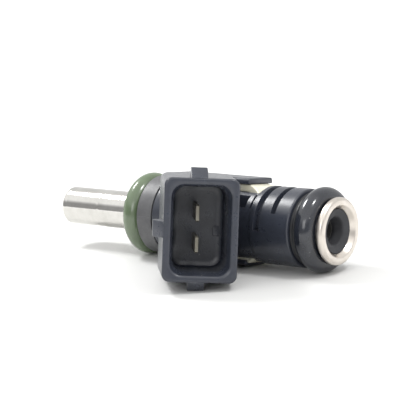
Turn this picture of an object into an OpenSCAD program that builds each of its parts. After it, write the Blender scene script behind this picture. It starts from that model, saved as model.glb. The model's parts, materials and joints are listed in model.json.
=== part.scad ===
// Petrol port fuel injector with a long nozzle and an inclined two-blade plug.
// The injector's own axis lies along X, with the fuel inlet at +X and the spray tip at -X.
// The origin is the centre of the lower (manifold) O-ring. The injector lies on its two O-rings and on
// the plug's lower lug, so the plug side is rolled up about X by the angle that brings that lug down.

/* [O-rings] */
// Outside diameter of both O-rings
ring_od = 14.6; // [14:0.1:17]
// Distance from the lower O-ring's centre to the upper O-ring's centre
ring_pitch = 37.3; // [37.3:0.1:48]

/* [Nozzle] */
// Outside diameter of the nozzle tube and of the inlet tube, which carry the O-rings
tube_od = 6.86; // [6.4:0.02:7.4]
// Wall of the nozzle tube and of the inlet tube
tube_wall = 0.68; // [0.55:0.01:0.8]
// Reach of the spray tip beyond the lower O-ring's centre
tip_reach = 18.9; // [15:0.1:24]
// Radius rolled on the tip's edge
tip_round = 0.6; // [0.3:0.05:0.65]

/* [Inlet] */
// Outside diameter of the inlet flange
flange_od = 11.5; // [11:0.1:13]
// Gap between the upper O-ring and the flange's back
ring_room = 0.265; // [0.165:0.05:1.165]
// Thickness of the flange
flange_t = 1.4; // [1.2:0.05:1.4]
// Diameter of the flange's funnel mouth at its front face
mouth_d = 9.0; // [8.2:0.1:9.6]
// Diameter of the flange's funnel at its root
throat_d = 7.6; // [7.4:0.05:7.9]

/* [Moulded body] */
// Diameter of the neck that takes the retaining clip
neck_d = 13.5; // [13.1:0.1:14]
// Diameter of the coil housing behind the neck
housing_d = 13.0; // [12.9:0.1:13.6]
// Start of the neck, measured from the lower O-ring's centre
neck_start = 26.4; // [26.4:0.1:28]
// Width of the first clip slot
slot_w = 1.2; // [0.8:0.05:1.4]
// Depth of the clip slots
slot_depth = 1.1; // [0.6:0.05:1.4]
// Diameter of the collar that backs the lower O-ring
collar_d = 13.8; // [13:0.1:14.2]

/* [Plug] */
// Width of the plug shell across its short sides
shell_w = 12.4; // [12:0.1:14]
// Height of the plug shell across its long sides
shell_h = 17.2; // [17:0.1:19]
// Wall of the plug shell at the rim
shell_wall = 1.2; // [1:0.05:1.3]
// Distance from the injector's axis to the rim, along the plug's axis
shell_reach = 28; // [27:0.5:34]
// Depth of the socket from the rim
socket_depth = 10.5; // [8:0.5:11]
// Angle between the plug's axis and the injector's axis
plug_angle = 48; // [44:1:54]
// Height of the locking lugs above the shell
lug_h = 1.6; // [1:0.1:1.8]
// Width of the locking lugs
lug_w = 2.8; // [2:0.1:3.4]

/* [Terminals] */
// Width of a terminal blade
blade_w = 2.8; // [2.4:0.1:3]
// Thickness of a terminal blade
blade_t = 0.6; // [0.5:0.05:0.8]
// Distance between the two blades' centres
blade_pitch = 5.2; // [5:0.1:5.6]
// Depth of the blades' ends behind the rim
blade_inset = 2.7; // [1.5:0.1:4]

/* [Solenoid] */
// Length of the coil bobbin
bobbin_l = 15; // [13:0.5:15]
// Outside diameter of the bobbin's flanges
bobbin_d = 10.6; // [9.8:0.1:10.6]
// Thickness of the flux yoke's strap
yoke_t = 1.4; // [1:0.05:1.5]
// Width of the flux yoke's strap
yoke_w = 5.8; // [4.5:0.1:6]

/* [Needle] */
// Opening travel of the needle
needle_lift = 0.08; // [0.06:0.01:0.12]
// Radial running clearance of the armature and of the needle's guide
running_gap = 0.05; // [0.03:0.01:0.08]
// Diameter of the valve ball
ball_d = 3.0; // [2.6:0.1:3.2]
// Outside diameter of the needle tube
needle_d = 2.2; // [1.8:0.1:2.3]
// Number of coils in the return spring
spring_turns = 7; // [5:1:9]

/* [Hidden] */
$fn = 96;
eps = 0.01;

// Tubes and rings on the injector's axis
tube_r = tube_od / 2;
bore_r = tube_r - tube_wall;
seat_step = 0.2;
seat_r = tube_r + seat_step;
section_r = (ring_od / 2 - seat_r) / 2;
section_centre = seat_r + section_r;
retainer_x = -section_r - 0.6;
retainer_t = 0.55;
step_x = retainer_x - 0.5;
tip_x = -tip_reach;
inlet_x = ring_pitch + section_r + ring_room + flange_t;

// Flange and filter
flange_back = inlet_x - flange_t;
funnel_depth = 0.9;
throat_x = inlet_x - funnel_depth;
tube_end = throat_x - 0.35;
filter_wall = 0.45;
filter_l = 9;
head_l = 2;
cap_t = 0.8;
mesh_start = tube_end - filter_l + cap_t;
mesh_end = tube_end - head_l;
mesh_r = bore_r - 0.3 - filter_wall;

// Solenoid
yoke_end = neck_start - 0.4;
coil_end = yoke_end - yoke_t;
coil_start = coil_end - bobbin_l;
yoke_start = coil_start - yoke_t;
bobbin_wall = 0.6;
hub_r = seat_r + bobbin_wall;
flange_l = 0.7;
winding_r = bobbin_d / 2 - 0.25;
yoke_inner = bobbin_d / 2 + 0.15;
yoke_outer = yoke_inner + yoke_t;
coil_mid = (coil_start + coil_end) / 2;
bend_r = 3;
plate_gap = 0.4;

// Armature, pole and spring
air_gap_x = coil_mid - 1;
stop_gap = needle_lift + 0.02;
armature_l = 6;
armature_r = bore_r - running_gap;
pole_start = air_gap_x + stop_gap;
pole_l = 8;
pole_bore = 1.5;
spring_r = 1.2;
spring_wire = 0.35;
spring_seat_x = air_gap_x - 1.6;
spring_l = 7.5;
sleeve_start = spring_seat_x + spring_l;
gap_ring_l = 2.4;
gap_ring_x = air_gap_x - gap_ring_l / 2;

// Valve at the tip
ball_r = ball_d / 2;
needle_r = needle_d / 2;
disc_t = 0.3;
disc_x = tip_x + 0.7;
seat_x = disc_x + disc_t;
seat_l = 2 * ball_r;
cone_angle = 45;
orifice_r = 0.5;
seat_bore_r = ball_r + 0.35;
closed_gap = 0.01;
ball_x = seat_x - orifice_r / tan(cone_angle) + (ball_r + closed_gap) / sin(cone_angle);
guide_x = seat_x + seat_l;
guide_l = 0.8;
needle_wall = 0.3;
cross_hole_r = 0.35;
cross_hole_x = ball_x + 4;
needle_top = air_gap_x - armature_l + 1.4;

// Moulded body
neck_r = neck_d / 2;
housing_r = housing_d / 2;
housing_start = 5.3;
neck_end = ring_pitch - section_r - 0.9;
slot_1 = neck_start + 1.0;
slot_2 = neck_start + 4.2;
slot_2_w = slot_w - 0.2;
slot_1_half = 95;
slot_2_half = 68;
collar_start = 1.75;
seam_w = 0.15;
seam_depth = 0.4;
roof_t = 1.0;
roof_round = 0.8;
cover_low = yoke_inner - 0.6;
floor_lip = 0.3;
lip_rise = 0.65;
roof_end = neck_start - 2.6;
roof_w = yoke_w + 0.8;
window_start = neck_start - 5;
window_end = neck_start - 0.2;
pocket_start = neck_start - 5.5;
pocket_l = 4;
pocket_low = 2.9;
pocket_floor = 4.2;
slit_start = neck_start - 0.65;
slit_w = 0.4;

// Plug
plug_cross = 8.6;
shell_back = 13.5;
corner_r = 1.3;
socket_corner = 2.5;
lead_in = 0.55;
lead_in_depth = 0.8;
root_h = 2 * (yoke_outer + 0.5);
crest_depth = 2.4;
crest_l = 1.1;
polar_shift = 0.45;
root_end = neck_start - 5.6;
key_h = 1.2;
key_across = 3.3;
key_down = 0.9;
key_w = 1.4;
key_l = 1.8;

// The roll that rests the lower lug on the floor: the lowest corner of the lug's crest lies a distance
// crest_y in front of the axis and crest_z below the plug's middle plane.
crest_t = shell_reach - crest_depth;
crest_front = crest_t * sin(plug_angle);
crest_z = shell_h / 2 + lug_h;
plug_roll = atan2(crest_z, crest_front) - asin(ring_od / 2 / norm([crest_z, crest_front]));

// Turns a shape made along +Z so that it lies along +X
module along_x(x = 0) {
    translate([x, 0, 0]) rotate([0, 90, 0]) children();
}

// A ring or tube along X
module tube_x(x, l, outer, inner) {
    along_x(x) difference() {
        cylinder(h = l, r = outer);
        translate([0, 0, -1]) cylinder(h = l + 2, r = inner);
    }
}

// A rod along X
module rod_x(x, l, r) {
    along_x(x) cylinder(h = l, r = r);
}

// The plug side's own frame: -Y points to the plug, Z is across it
module rolled() {
    rotate([-plug_roll, 0, 0]) children();
}

// The plug's frame: +Z runs out along the plug's axis, X is across its short side, Y across its long side
module on_plug(t = 0) {
    rolled() translate([plug_cross, 0, 0]) rotate([0, 0, 90 - plug_angle]) rotate([90, 0, 0])
        translate([0, 0, t]) children();
}

// A rounded rectangle, centred
module rounded_rect(w, h, r) {
    union() {
        square([w - 2 * r, h], center = true);
        square([w, h - 2 * r], center = true);
        for (x = [-1, 1], y = [-1, 1]) {
            translate([x * (w / 2 - r), y * (h / 2 - r)]) circle(r = r, $fn = 48);
        }
    }
}

module nozzle_tube() {
    color("gainsboro") along_x() rotate_extrude() difference() {
        union() {
            translate([0, tip_x + tip_round]) square([tube_r, gap_ring_x - tip_x - tip_round]);
            translate([0, step_x]) square([seat_r, gap_ring_x - step_x]);
            translate([0, tip_x]) square([tube_r - tip_round, tip_round + eps]);
            translate([tube_r - tip_round, tip_x + tip_round]) circle(r = tip_round);
        }
        translate([-1, disc_x]) square([bore_r + 1, gap_ring_x - disc_x + 1]);
        translate([-1, tip_x - 1]) square([bore_r - 0.3 + 1, 2]);
    }
}

module orifice_disc() {
    hole_ring = 0.62;
    color("silver") difference() {
        rod_x(disc_x, disc_t, bore_r);
        for (i = [0:5]) {
            rotate([i * 60, 0, 0]) translate([0, 0, hole_ring / 2]) rod_x(disc_x - 1, disc_t + 2, 0.12);
        }
    }
}

module valve_seat() {
    color("silver") along_x(seat_x) rotate_extrude() polygon([
        [orifice_r, 0], [bore_r, 0], [bore_r, seat_l], [seat_bore_r, seat_l],
        [seat_bore_r, (seat_bore_r - orifice_r) / tan(cone_angle)]
    ]);
}

module valve_ball() {
    color("white") translate([ball_x, 0, 0]) sphere(r = ball_r);
}

module needle_guide() {
    passages = 3;
    color("silver") difference() {
        rod_x(guide_x, guide_l, bore_r);
        rod_x(guide_x - 1, guide_l + 2, needle_r + running_gap);
        for (i = [0:passages - 1]) {
            rotate([i * 360 / passages, 0, 0]) translate([0, 0, (bore_r + needle_r) / 2])
                rod_x(guide_x - 1, guide_l + 2, 0.4);
        }
    }
}

module needle_tube() {
    color("lightgray") difference() {
        along_x(ball_x) rotate_extrude() difference() {
            translate([needle_r - needle_wall, 0]) square([needle_wall, needle_top - ball_x]);
            circle(r = ball_r);
        }
        translate([cross_hole_x, 0, -needle_r - 1]) cylinder(h = 2 * needle_r + 2, r = cross_hole_r);
    }
}

module armature() {
    color("darkgray") difference() {
        rod_x(air_gap_x - armature_l, armature_l, armature_r);
        rod_x(needle_top, air_gap_x - needle_top + 1, needle_r - 0.35);
        rod_x(air_gap_x - armature_l - 1, needle_top - air_gap_x + armature_l + 1, needle_r);
        rod_x(spring_seat_x, air_gap_x - spring_seat_x + 1, spring_r + spring_wire / 2 + 0.05);
        rotate([45, 0, 0]) translate([needle_top + 0.8, 0, -armature_r - 1])
            cylinder(h = 2 * armature_r + 2, r = cross_hole_r);
    }
}

// A coil of round wire between two closed ends, swept as one skin
function helix_point(a, turns, l) =
    let (dead = 0.75, w = a / 360, rise = l - 2 * spring_wire)
    [
        w < dead ? w * spring_wire * 1.05 :
        w > turns - dead ? rise + spring_wire - (turns - w) * spring_wire * 1.05 :
        dead * spring_wire * 1.05 + (w - dead) / (turns - 2 * dead)
            * (rise + spring_wire - 2 * dead * spring_wire * 1.05),
        spring_r * cos(a), spring_r * sin(a)
    ];

module return_spring() {
    sides = 8;
    steps = 18 * spring_turns;
    wire_r = spring_wire / 2;
    rings = [for (i = [0:steps])
        let (a = i * 360 * spring_turns / steps, c = helix_point(a, spring_turns, spring_l))
        [for (j = [0:sides - 1])
            let (b = j * 360 / sides)
            [
                spring_seat_x + wire_r + c[0] + wire_r * sin(b),
                (spring_r + wire_r * cos(b)) * cos(a),
                (spring_r + wire_r * cos(b)) * sin(a)
            ]]];
    points = [for (ring = rings) each ring];
    walls = [for (i = [0:steps - 1], j = [0:sides - 1])
        let (k = (j + 1) % sides, a = i * sides, b = (i + 1) * sides)
        [a + j, a + k, b + k, b + j]];
    first = [for (j = [sides - 1:-1:0]) j];
    last = [for (j = [0:sides - 1]) steps * sides + j];
    color("lightsteelblue") polyhedron(points, concat([first], walls, [last]), convexity = 10);
}

module adjusting_sleeve() {
    sleeve_l = 4;
    color("tan") difference() {
        tube_x(sleeve_start, sleeve_l, pole_bore, pole_bore - 0.45);
        translate([sleeve_start - 1, -0.2, 0]) cube([sleeve_l + 2, 0.4, pole_bore + 1]);
    }
}

module pole_piece() {
    color("gray") tube_x(pole_start, pole_l, bore_r, pole_bore);
}

module gap_ring() {
    color("goldenrod") tube_x(gap_ring_x, gap_ring_l, seat_r, bore_r);
}

module inlet_tube() {
    start = gap_ring_x + gap_ring_l;
    color("lightgray") tube_x(start, tube_end - start, seat_r, bore_r);
}

module inlet_flange() {
    edge = 0.6;
    outer = flange_od / 2;
    color("linen") along_x() rotate_extrude() difference() {
        union() {
            translate([0, flange_back]) square([outer - edge, flange_t]);
            translate([0, flange_back + edge]) square([outer, flange_t - 2 * edge]);
            for (x = [flange_back + edge, inlet_x - edge]) {
                translate([outer - edge, x]) circle(r = edge);
            }
        }
        translate([-1, flange_back - 1]) square([seat_r + 1, tube_end - flange_back + 1]);
        translate([-1, tube_end - eps]) square([throat_d / 2 + 1, inlet_x - tube_end + 1]);
        polygon([
            [throat_d / 2 - eps, throat_x], [mouth_d / 2, inlet_x], [mouth_d / 2, inlet_x + 1],
            [throat_d / 2 - eps, inlet_x + 1]
        ]);
    }
}

module filter_frame() {
    head_t = 0.5;
    rib_w = 0.7;
    inner = mesh_r;
    throat_r = throat_d / 2;
    color("dimgray") {
        along_x(mesh_end) rotate_extrude() polygon([
            [inner, 0], [bore_r, 0], [bore_r, head_l], [throat_r, head_l], [throat_r, head_l + head_t],
            [throat_r - 0.2, head_l + head_t], [bore_r - 0.35, head_l + 0.1], [inner, 0.4]
        ]);
        rod_x(tube_end - filter_l, cap_t, mesh_r + filter_wall);
        for (i = [0:3]) {
            rotate([i * 90, 0, 0]) translate([mesh_start - 0.1, -rib_w / 2, mesh_r])
                cube([mesh_end - mesh_start + 0.2, rib_w, filter_wall - 0.05]);
        }
    }
}

module filter_mesh() {
    color("wheat") tube_x(mesh_start, mesh_end - mesh_start, mesh_r, mesh_r - 0.12);
}

module bobbin() {
    color("ivory") along_x(coil_start) rotate_extrude() polygon([
        [seat_r, 0], [bobbin_d / 2, 0], [bobbin_d / 2, flange_l], [hub_r, flange_l],
        [hub_r, bobbin_l - flange_l], [bobbin_d / 2, bobbin_l - flange_l],
        [bobbin_d / 2, bobbin_l], [seat_r, bobbin_l]
    ]);
}

module coil_winding() {
    color("peru") tube_x(coil_start + flange_l, bobbin_l - 2 * flange_l, winding_r, hub_r);
}

// The yoke's outside: a strap frame bent round a radius at its four corners
module yoke_shape() {
    translate([(yoke_start + yoke_end) / 2, yoke_w / 2, 0]) rotate([90, 0, 0])
        linear_extrude(height = yoke_w) rounded_rect(yoke_end - yoke_start, 2 * yoke_outer, bend_r);
}

module flux_yoke() {
    color("khaki") rolled() difference() {
        union() {
            yoke_shape();
            rod_x(yoke_start, yoke_t, yoke_inner - plate_gap);
            rod_x(coil_end, yoke_t, yoke_inner - plate_gap);
        }
        translate([coil_start, -yoke_w, -yoke_inner]) cube([bobbin_l, 2 * yoke_w, 2 * yoke_inner]);
        rod_x(yoke_start - 1, yoke_end - yoke_start + 2, seat_r);
    }
}

// A terminal: the blade in the socket, its root in the moulding and its tail down to the bobbin's flange
module terminal(side) {
    tip = shell_reach - blade_inset;
    root = shell_reach - socket_depth - 6;
    point_l = 0.6;
    point_cut = 0.5;
    color("antiquewhite") on_plug() translate([-polar_shift, side * blade_pitch / 2, 0]) union() {
        translate([-blade_t / 2, -blade_w / 2, root]) cube([blade_t, blade_w, tip - root - point_l]);
        translate([0, 0, tip - point_l]) rotate([0, 90, 0]) linear_extrude(height = blade_t, center = true)
            polygon([
                [0, -blade_w / 2], [0, blade_w / 2], [-point_l, blade_w / 2 - point_cut],
                [-point_l, -blade_w / 2 + point_cut]
            ]);
    }
}

module terminal_upper() {
    terminal(1);
}

module terminal_lower() {
    terminal(-1);
}

// The locking lug: a ramp that rises from the rim to its crest, and drops at a catch behind it
module lug() {
    rotate([90, 0, 0]) linear_extrude(height = lug_w, center = true) polygon([
        [-0.3, shell_reach - 0.15], [0, shell_reach - 0.15], [lug_h, crest_t], [lug_h, crest_t - crest_l],
        [0.3, crest_t - crest_l - 0.5], [-0.3, crest_t - crest_l - 0.5]
    ]);
}

module shell_solid() {
    on_plug(shell_back) linear_extrude(height = shell_reach - shell_back)
        rounded_rect(shell_w, shell_h, corner_r);
}

module shell_lugs() {
    on_plug() {
        translate([-polar_shift, shell_h / 2, 0]) rotate([0, 0, 90]) lug();
        translate([-polar_shift, -shell_h / 2, 0]) rotate([0, 0, -90]) lug();
        translate([-shell_w / 2, 0, 0]) rotate([0, 0, 180]) lug();
    }
}

// The socket: a straight pocket with a lead-in at the rim and a small key that stands on its floor
module socket() {
    w = shell_w - 2 * shell_wall - 2 * lead_in;
    h = shell_h - 2 * shell_wall - 2 * lead_in;
    floor_t = shell_reach - socket_depth;
    on_plug(floor_t) difference() {
        linear_extrude(height = socket_depth + 1) rounded_rect(w, h, socket_corner - lead_in);
        translate([key_across, -key_down, -1]) linear_extrude(height = 1 + key_h)
            rounded_rect(key_w, key_l, 0.5);
    }
    on_plug(shell_reach - lead_in_depth) linear_extrude(height = lead_in_depth + 1)
        rounded_rect(w + 2 * lead_in, h + 2 * lead_in, socket_corner);
}

// A point in the rolled frame's X and Y, given across the plug and along it
function plug_point(across, along) = [
    plug_cross + along * cos(plug_angle) + across * sin(plug_angle),
    across * cos(plug_angle) - along * sin(plug_angle)
];

// The root that joins the plug shell to the coil housing
module root() {
    rolled() translate([0, 0, -root_h / 2]) linear_extrude(height = root_h) polygon([
        plug_point(-shell_w / 2 + corner_r, shell_back + 1),
        plug_point(shell_w / 2 - corner_r, shell_back + 1),
        [root_end, -2], [housing_start + 0.6, -2], [housing_start + 0.6, -housing_r + 1]
    ]);
    on_plug(shell_back - 2) linear_extrude(height = 3)
        rounded_rect(shell_w - 2 * corner_r + 0.6, root_h, corner_r);
}

// A slot part-way round the neck, centred on the side above the plug
module clip_slot(x, w, half_angle) {
    rolled() along_x(x) rotate([0, 0, 180 - half_angle]) rotate_extrude(angle = 2 * half_angle)
        translate([neck_r - slot_depth, 0]) square([slot_depth + 1, w]);
}

// A cover along a strap of the yoke, between two heights
module strap_cover(low, high) {
    translate([housing_start + 1, 0, (low + high) / 2]) rotate([90, 0, 90])
        linear_extrude(height = roof_end - housing_start - 1) rounded_rect(roof_w, high - low, roof_round);
}

// The roof over the yoke's upper strap and the thinner floor under the lower one
module yoke_covers() {
    rolled() {
        strap_cover(cover_low, yoke_outer + roof_t);
        strap_cover(-yoke_outer - floor_lip, -cover_low);
    }
}

// What the moulding closes round: the tube, the bobbin, the winding and the yoke
module moulded_in() {
    rod_x(0, inlet_x, seat_r);
    rod_x(yoke_start, yoke_end - yoke_start, yoke_inner - plate_gap);
    rod_x(coil_start, bobbin_l, bobbin_d / 2);
    rolled() yoke_shape();
}

// A window right across the body, with a round end towards the nozzle
module strap_window(low, high) {
    reach = housing_r + 2;
    end_r = (high - low) / 2;
    translate([window_start + end_r, -reach, low])
        cube([window_end - window_start - end_r, 2 * reach, high - low]);
    translate([window_start + end_r, reach, low + end_r]) rotate([90, 0, 0])
        cylinder(h = 2 * reach, r = end_r);
}

// The windows that show the yoke's straps from both sides
module strap_windows() {
    rolled() {
        strap_window(yoke_inner, yoke_outer);
        strap_window(-yoke_outer + lip_rise, -yoke_inner);
    }
}

// The pocket under the upper strap on the plug's side, and the slit between it and the neck
module side_pocket() {
    rolled() {
        translate([pocket_start, -housing_r - 1, pocket_low])
            cube([pocket_l, housing_r + 1 - pocket_floor, yoke_inner - pocket_low - 0.35]);
        translate([slit_start, -housing_r - 1, pocket_low])
            cube([slit_w, housing_r + 1.4 - pocket_floor, yoke_inner - pocket_low - 0.35]);
    }
}

module overmould() {
    color([0.14, 0.14, 0.15]) difference() {
        union() {
            rod_x(housing_start, neck_start - housing_start, housing_r);
            rod_x(neck_start, neck_end - neck_start, neck_r);
            rod_x(housing_start, 3.2, collar_d / 2);
            root();
            shell_solid();
            shell_lugs();
            yoke_covers();
        }
        socket();
        moulded_in();
        terminal_cut();
        clip_slot(slot_1, slot_w, slot_1_half);
        clip_slot(slot_2, slot_2_w, slot_2_half);
        strap_windows();
        side_pocket();
    }
}

module terminal_cut() {
    terminal(1);
    terminal(-1);
}

module lower_collar() {
    groove_end = housing_start - seam_w;
    collar_r = collar_d / 2;
    color([0.25, 0.25, 0.26]) difference() {
        rod_x(collar_start, housing_start - collar_start, collar_r);
        tube_x(groove_end, 1, collar_r + 1, collar_r - seam_depth);
        rod_x(collar_start - 1, housing_start - collar_start + 2, seat_r);
        along_x() rotate_extrude() translate([section_centre, 0]) circle(r = section_r);
    }
}

module o_ring(x) {
    along_x(x) rotate_extrude() translate([section_centre, 0]) circle(r = section_r);
}

module lower_o_ring() {
    color("darkolivegreen") o_ring(0);
}

module ring_retainer() {
    color("silver") tube_x(retainer_x, retainer_t, seat_r + 0.8, seat_r);
}

module support_ring() {
    color("black") tube_x(neck_end, ring_pitch - section_r - neck_end, neck_r - 0.5, seat_r);
}

module upper_o_ring() {
    color("black") o_ring(ring_pitch);
}

nozzle_tube();
valve_seat();
orifice_disc();
needle_guide();
valve_ball();
needle_tube();
armature();
return_spring();
adjusting_sleeve();
pole_piece();
gap_ring();
inlet_tube();
inlet_flange();
filter_frame();
filter_mesh();
bobbin();
coil_winding();
flux_yoke();
terminal_upper();
terminal_lower();
overmould();
lower_collar();
lower_o_ring();
ring_retainer();
support_ring();
upper_o_ring();
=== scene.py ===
"""Looks of a petrol fuel injector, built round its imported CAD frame.

Lengths inside the classes are in millimetres, in the part's own frame: the injector's axis lies along X,
the centre of the lower O-ring is the origin and Z is up. Every visible outside part is a parametric surface
that stands for its CAD node; the parts inside keep their CAD meshes and take detailed procedural materials.
"""

import json
import logging
import math
from dataclasses import dataclass
from enum import Enum
from typing import Callable, Iterable, Sequence

import bpy
import numpy as np
from mathutils import Matrix, Vector
from numpy.typing import NDArray


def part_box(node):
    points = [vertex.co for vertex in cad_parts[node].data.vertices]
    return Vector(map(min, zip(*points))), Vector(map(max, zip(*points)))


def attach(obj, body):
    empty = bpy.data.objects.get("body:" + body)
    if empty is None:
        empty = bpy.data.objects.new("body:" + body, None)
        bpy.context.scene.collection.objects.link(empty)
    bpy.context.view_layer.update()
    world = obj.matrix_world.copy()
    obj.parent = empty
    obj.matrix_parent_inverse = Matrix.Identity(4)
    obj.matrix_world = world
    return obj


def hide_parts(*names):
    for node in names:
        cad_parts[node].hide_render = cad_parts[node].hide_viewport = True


Array = NDArray[np.float64]
RadiusChange = Callable[[Array, Array], Array]
Feed = bpy.types.NodeSocket | float | tuple[float, ...]

logging.basicConfig(level=logging.INFO, format="%(message)s")
log = logging.getLogger("injector")

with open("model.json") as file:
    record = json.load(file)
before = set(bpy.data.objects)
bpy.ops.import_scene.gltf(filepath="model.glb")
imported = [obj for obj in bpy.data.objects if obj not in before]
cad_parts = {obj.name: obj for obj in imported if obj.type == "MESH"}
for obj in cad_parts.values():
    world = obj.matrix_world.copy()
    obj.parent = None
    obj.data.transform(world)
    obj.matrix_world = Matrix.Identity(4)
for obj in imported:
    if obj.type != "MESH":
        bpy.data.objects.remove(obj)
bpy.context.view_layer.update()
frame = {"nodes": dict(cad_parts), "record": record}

MM = 0.001
BODY = "injector_body"
PLUG_REACH = 28.0


# ---------------------------------------------------------------- frame


@dataclass(frozen=True)
class Span:
    """Extent of a CAD node: its ends along X and its largest radius, in millimetres."""

    start: float
    end: float
    radius: float

    @property
    def middle(self) -> float:
        """Middle of the node along X."""
        return (self.start + self.end) / 2

    @property
    def length(self) -> float:
        """Length of the node along X."""
        return self.end - self.start


def span(node: str) -> Span:
    """Reads where a CAD node lies.

    Args:
        node: Name of the CAD node.

    Returns:
        Its extent along X and its radius.
    """
    low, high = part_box(node)
    return Span(low.x / MM, high.x / MM, high.y / MM)


def mount_radius(name: str) -> float:
    """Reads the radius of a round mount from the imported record.

    Args:
        name: The mount's name.

    Returns:
        Its radius in millimetres.
    """
    return float(next(m for m in frame["record"]["mounts"] if m["name"] == name)["dims"]["r_mm"])


@dataclass(frozen=True)
class PlugFrame:
    """The plug's own frame: across its short side, across its long side, and outward along its axis."""

    origin: Array
    across: Array
    tall: Array
    out: Array
    roll: float

    @classmethod
    def from_record(cls, reach: float) -> "PlugFrame":
        """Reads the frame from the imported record's plug mount.

        Args:
            reach: Distance of the mount, which lies at the rim, from the injector's axis.

        Returns:
            The frame, with its origin where the plug's axis crosses the injector's axis.
        """
        mount = next(m for m in frame["record"]["mounts"] if m["name"] == "plug_socket")
        out = np.array(mount["axis"], float)
        out /= np.linalg.norm(out)
        tall = np.cross([1.0, 0.0, 0.0], out)
        tall *= -1.0 if tall[2] < 0 else 1.0
        tall /= np.linalg.norm(tall)
        across = np.cross(tall, out)
        origin = np.array(mount["pos_m"], float) / MM - reach * out
        return cls(origin, across, tall, out, math.atan2(out[2], -out[1]))

    def place(self, points: Array) -> Array:
        """Carries points from the plug's frame to the part's frame.

        Args:
            points: Array whose last axis is (across, tall, out).

        Returns:
            The same points in the part's frame.
        """
        basis = np.stack([self.across, self.tall, self.out])
        return self.origin + points @ basis

    def unroll(self, points: Array) -> Array:
        """Carries points from the frame rolled about X with the plug to the part's frame.

        Args:
            points: Array whose last axis is (x, towards the far side, rolled up).

        Returns:
            The same points in the part's frame.
        """
        c, s = math.cos(self.roll), math.sin(self.roll)
        turned = points.copy()
        turned[..., 1] = points[..., 1] * c + points[..., 2] * s
        turned[..., 2] = -points[..., 1] * s + points[..., 2] * c
        return turned


# ---------------------------------------------------------------- surfaces


@dataclass
class Patch:
    """A closed surface: its vertices, and its faces as lists of vertex numbers."""

    vertices: Array
    faces: list[tuple[int, ...]]

    def outward(self) -> "Patch":
        """Turns the faces over if the surface encloses a negative volume.

        Returns:
            The patch with its normals outward.
        """
        volume = 0.0
        for face in self.faces:
            a = self.vertices[face[0]]
            for b, c in zip(face[1:-1], face[2:]):
                volume += float(np.dot(a, np.cross(self.vertices[b], self.vertices[c])))
        if volume < 0:
            self.faces = [tuple(reversed(face)) for face in self.faces]
        return self


def carried(rows: Array, around: bool = False) -> Patch:
    """Joins a grid of points into a closed skin.

    The grid is a surface of two parameters. Its first axis runs along the piece. Its second goes round it
    and closes on itself. Flat ends close the first and last rows, unless the first axis closes too.

    Args:
        rows: Points as (along, round, 3).
        around: True if the first axis closes on itself, as on a ring.

    Returns:
        The closed patch.
    """
    n, m = rows.shape[:2]
    index = np.arange(n * m).reshape(n, m)
    ahead = np.roll(index, -1, 0) if around else index[1:]
    here = index if around else index[:-1]
    quads = np.stack(
        [here, np.roll(here, -1, 1), np.roll(ahead, -1, 1), ahead], axis=-1
    ).reshape(-1, 4)
    faces: list[tuple[int, ...]] = [tuple(q) for q in quads.tolist()]
    if not around:
        faces.append(tuple(reversed(index[0].tolist())))
        faces.append(tuple(index[-1].tolist()))
    return Patch(rows.reshape(-1, 3), faces).outward()


def filleted(corners: Sequence[tuple[float, float, float]], steps: int = 6, closed: bool = True) -> Array:
    """Rounds the corners of a flat outline.

    Each corner (x, y, r) becomes an arc of radius r that touches both its sides, or a smaller one where a
    side is short.

    Args:
        corners: Corners in order, each with its own radius.
        steps: Points along each arc, less one.
        closed: False for an open line, whose two ends stay as they are.

    Returns:
        Points of the outline as (n, 2).
    """
    raw = np.array(corners, float)
    points, radii = raw[:, :2], raw[:, 2]
    out: list[Array] = []
    for i, p in enumerate(points):
        if not closed and i in (0, len(points) - 1):
            out.append(p[None])
            continue
        back, ahead = points[i - 1] - p, points[(i + 1) % len(points)] - p
        lb, la = np.linalg.norm(back), np.linalg.norm(ahead)
        back, ahead = back / lb, ahead / la
        half = math.acos(float(np.clip(back @ ahead, -1, 1))) / 2
        if radii[i] <= 0 or half > math.pi / 2 - 1e-3:
            out.append(p[None])
            continue
        cut = min(radii[i] / math.tan(half), 0.49 * min(lb, la))
        r = cut * math.tan(half)
        bisector = (back + ahead) / np.linalg.norm(back + ahead)
        centre = p + bisector * r / math.sin(half)
        start, end = p + back * cut - centre, p + ahead * cut - centre
        a0 = math.atan2(start[1], start[0])
        sweep = (math.atan2(end[1], end[0]) - a0 + math.pi) % (2 * math.pi) - math.pi
        a = a0 + sweep * np.linspace(0, 1, steps + 1)
        out.append(centre + r * np.stack([np.cos(a), np.sin(a)], -1))
    return np.concatenate(out)


def rounded_rect(half_w: float, half_h: float, r: float, steps: int = 8, edge: int = 12) -> Array:
    """A rounded rectangle with the same number of points whatever its size, so that sizes can be lofted.

    Args:
        half_w: Half its width.
        half_h: Half its height.
        r: Corner radius.
        steps: Steps along each corner's arc.
        edge: Steps along each straight side.

    Returns:
        Points of the outline as (n, 2), anticlockwise.
    """
    out: list[Array] = []
    for k, (sx, sy) in enumerate(((1, 1), (-1, 1), (-1, -1), (1, -1))):
        a = np.radians(90 * k + 90 * np.linspace(0, 1, steps + 1))
        arc = np.array([sx * (half_w - r), sy * (half_h - r)]) + r * np.stack([np.cos(a), np.sin(a)], -1)
        nx, ny = ((-1, 1), (-1, -1), (1, -1), (1, 1))[k]
        a = math.radians(90 * k + 90)
        follow = np.array([nx * (half_w - r), ny * (half_h - r)]) + r * np.array([math.cos(a), math.sin(a)])
        t = np.linspace(0, 1, edge + 1)[1:-1, None]
        out += [arc, arc[-1] + (follow - arc[-1]) * t]
    return np.concatenate(out)


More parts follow.
